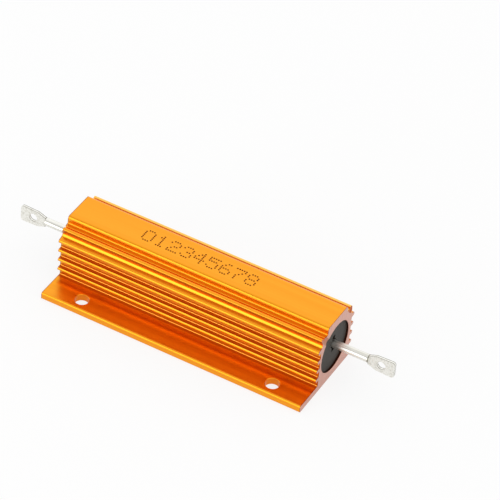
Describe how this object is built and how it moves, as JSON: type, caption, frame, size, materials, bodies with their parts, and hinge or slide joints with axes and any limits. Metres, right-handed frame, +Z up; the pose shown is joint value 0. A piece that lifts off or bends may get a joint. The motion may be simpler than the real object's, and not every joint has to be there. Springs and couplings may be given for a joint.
{
  "type": "aluminium housed power resistor",
  "caption": "Power resistor in a finned aluminium housing, with a fixing flange along one side and a flat solder lug at each end.",
  "frame": {"origin": "under the middle of the part's bounding box, on the housing's flat mounting face", "axes": "+X along the housing and its terminals, +Y away from the fixing flange, +Z up from the mounting face"},
  "size_m": [0.13, 0.031, 0.0228],
  "materials": {
    "gold_anodised_aluminium": "satin",
    "black_insulator": "matte",
    "tinned_metal": "satin",
    "plain_steel": "satin",
    "white_ceramic": "matte",
    "resistance_alloy": "satin",
    "grey_cement": "matte"
  },
  "bodies": {
    "root": {"housing": "gold_anodised_aluminium", "end_disc_left": "black_insulator", "end_disc_right": "black_insulator", "terminal_left": "tinned_metal", "terminal_right": "tinned_metal", "ferrule_left": "plain_steel", "ferrule_right": "plain_steel", "ceramic_core": "white_ceramic", "resistance_wire": "resistance_alloy", "cement_filling": "grey_cement"}
  },
  "joints": []
}
